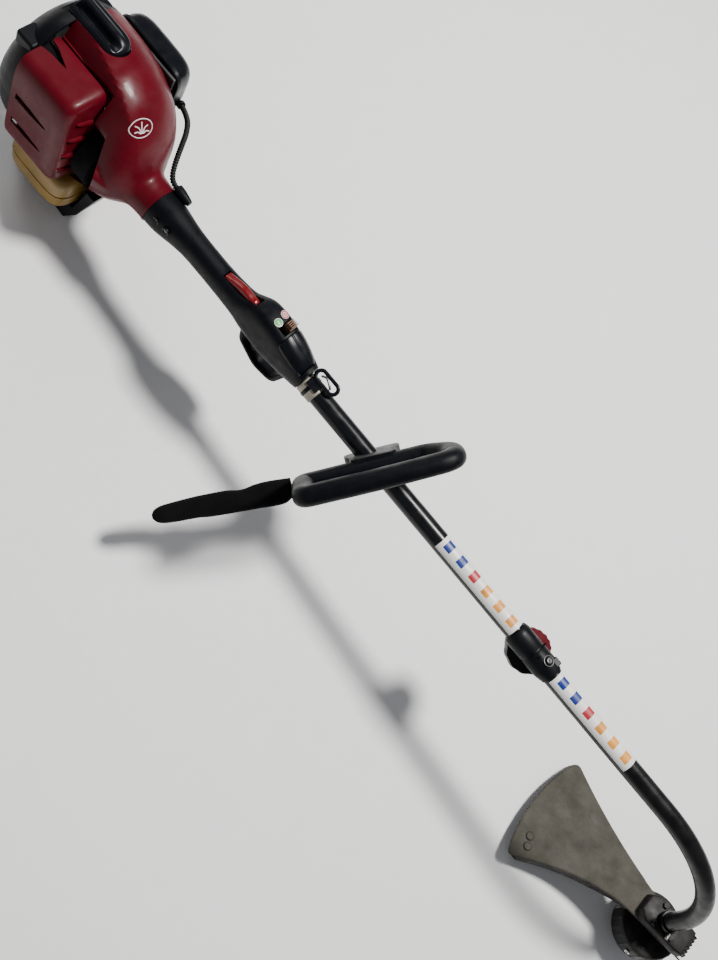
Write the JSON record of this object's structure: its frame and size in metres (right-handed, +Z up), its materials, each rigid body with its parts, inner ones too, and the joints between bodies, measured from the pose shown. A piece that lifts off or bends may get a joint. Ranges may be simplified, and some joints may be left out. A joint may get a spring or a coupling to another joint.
{
  "type": "string trimmer",
  "caption": "Petrol string trimmer: red-cowled engine, rear grip with trigger, D-handle with barrier bar, curved two-part boom, fan-shaped shield and bump-feed line head.",
  "frame": {"origin": "centre of the engine foot's underside, on the ground the trimmer rests on", "axes": "+X towards the cutting head along the ground, +Y to the operator's left, +Z up"},
  "size_m": [1.4647, 0.3457, 0.3322],
  "materials": {
    "cowl_red": "glossy dark red",
    "black_plastic": "satin black",
    "dark_grey_plastic": "satin dark grey",
    "cast_alloy": "cast",
    "machined_alloy": "machined",
    "steel": "brushed",
    "zinc_steel": "bright zinc",
    "boom_paint": "gloss black paint",
    "tank_plastic": "milky amber",
    "filter_foam": "open foam",
    "red_plastic": "glossy red",
    "switch_orange": "satin brown-red",
    "primer_rubber": "clear grey",
    "rubber_black": "matt",
    "shield_plastic": "dusty grey",
    "line_nylon": "orange nylon"
  },
  "bodies": {
    "trimmer": {"fan_housing": "cowl_red", "rear_cover": "black_plastic", "plug_cap": "black_plastic", "muffler_cover": "cowl_red", "muffler": "steel", "crankcase": "cast_alloy", "shaft_bearings": "steel", "cylinder": "cast_alloy", "piston": "machined_alloy", "connecting_rod": "steel", "ignition_module": "black_plastic", "spark_plug": "zinc_steel", "carburettor": "cast_alloy", "filter_plate": "black_plastic", "air_filter": "filter_foam", "filter_cover": "black_plastic", "fuel_tank": "tank_plastic", "engine_foot": "black_plastic", "rewind_spring": "steel", "upper_boom": "boom_paint", "shaft_bushings": "dark_grey_plastic", "grip_left": "black_plastic", "grip_right": "black_plastic", "housing_lid": "black_plastic", "throttle_conduit": "rubber_black", "strap_eye": "zinc_steel", "coupler": "dark_grey_plastic"},
    "crank": {"crankshaft": "steel", "flywheel": "cast_alloy", "clutch_rotor": "steel"},
    "starter_pulley": {"starter_pulley": "dark_grey_plastic"},
    "starter_handle": {"starter_handle": "black_plastic"},
    "drive": {"clutch_drum": "steel", "upper_drive_shaft": "steel"},
    "lower_boom": {"lower_boom": "boom_paint", "flexible_shaft": "steel", "head_bearing": "machined_alloy", "shield": "shield_plastic", "shield_clamp": "black_plastic", "shield_screws": "zinc_steel", "line_cutter": "steel"},
    "head": {"arbor": "steel", "spool_housing": "black_plastic", "line_ends": "line_nylon", "head_spring": "steel"},
    "bump": {"bump_knob": "red_plastic", "line_spool": "dark_grey_plastic", "wound_line": "line_nylon"},
    "trigger": {"trigger": "dark_grey_plastic"},
    "lockout_lever": {"lockout_lever": "red_plastic"},
    "stop_switch": {"stop_switch": "switch_orange"},
    "choke_lever": {"choke_lever": "black_plastic"},
    "primer_bulb": {"primer_bulb": "primer_rubber"},
    "fuel_cap": {"fuel_cap": "black_plastic"},
    "coupler_knob": {"coupler_knob": "red_plastic"},
    "release_button": {"release_button": "zinc_steel"},
    "handle": {"d_handle": "black_plastic", "handle_clamp": "dark_grey_plastic", "handle_bolts": "zinc_steel", "barrier_bar": "black_plastic"}
  },
  "joints": [
    {"name": "crank_spin", "type": "hinge", "parent": "trimmer", "child": "crank", "pos_m": [-0.01771, 0, 0.14424], "axis": [0.9925, 0, 0.1219], "continuous": true},
    {"name": "starter_pull", "type": "slide", "parent": "trimmer", "child": "starter_handle", "axis": [0, 1, 0], "range_m": [0, 0.6], "stiffness_N_per_m": 20, "springref_m": -0.15},
    {"name": "starter_pulley_spin", "type": "hinge", "parent": "trimmer", "child": "starter_pulley", "pos_m": [-0.08123, 0, 0.13644], "axis": [0.9925, 0, 0.1219], "range_deg": [0, 1080]},
    {"name": "drive_spin", "type": "hinge", "parent": "trimmer", "child": "drive", "pos_m": [0.31976, 0, 0.18567], "axis": [0.9925, 0, 0.1219], "continuous": true},
    {"name": "boom_release", "type": "slide", "parent": "trimmer", "child": "lower_boom", "axis": [0.9925, 0, 0.1219], "range_m": [0, 0.075]},
    {"name": "head_spin", "type": "hinge", "parent": "lower_boom", "child": "head", "pos_m": [1.27857, 0, 0.04663], "axis": [0.2924, 0, -0.9563], "continuous": true},
    {"name": "line_feed_bump", "type": "slide", "parent": "head", "child": "bump", "axis": [-0.2924, 0, 0.9563], "range_m": [0, 0.0045], "stiffness_N_per_m": 400, "springref_m": -0.01},
    {"name": "trigger_pull", "type": "hinge", "parent": "trimmer", "child": "trigger", "pos_m": [0.29397, 0, 0.16588], "axis": [0, 1, 0], "range_deg": [0, 12], "stiffness_Nm_per_rad": 0.05, "springref_deg": -17.19},
    {"name": "lockout_press", "type": "hinge", "parent": "trimmer", "child": "lockout_lever", "pos_m": [0.22621, 0, 0.19262], "axis": [0, 1, 0], "range_deg": [0, 7], "stiffness_Nm_per_rad": 0.08, "springref_deg": -17.19},
    {"name": "stop_slide", "type": "slide", "parent": "trimmer", "child": "stop_switch", "axis": [0, 1, 0], "range_m": [-0.009, 0]},
    {"name": "choke_turn", "type": "hinge", "parent": "trimmer", "child": "choke_lever", "pos_m": [-0.05846, 0.086, 0.11505], "axis": [0, 1, 0], "range_deg": [-50, 0]},
    {"name": "primer_press", "type": "slide", "parent": "trimmer", "child": "primer_bulb", "axis": [0, -1, 0], "range_m": [0, 0.005], "stiffness_N_per_m": 300, "springref_m": -0.002},
    {"name": "fuel_cap_turn", "type": "hinge", "parent": "trimmer", "child": "fuel_cap", "pos_m": [0.00047, 0.07, 0.06184], "axis": [0, 1, 0], "range_deg": [0, 540]},
    {"name": "coupler_knob_turn", "type": "hinge", "parent": "trimmer", "child": "coupler_knob", "pos_m": [0.79941, 0.01408, 0.21788], "axis": [0.1076, 0.4695, -0.8764], "range_deg": [0, 540]},
    {"name": "release_press", "type": "slide", "parent": "trimmer", "child": "release_button", "axis": [0.1219, 0, -0.9925], "range_m": [0, 0.004], "stiffness_N_per_m": 300, "springref_m": -0.003},
    {"name": "handle_slide", "type": "slide", "parent": "trimmer", "child": "handle", "axis": [0.9925, 0, 0.1219], "range_m": [-0.05, 0.08]}
  ],
  "couplings": [
    {"joint": "starter_pulley_spin", "follows": "starter_pull", "rad_per_m": 31.25},
    {"joint": "head_spin", "follows": "drive_spin", "ratio": 1}
  ]
}
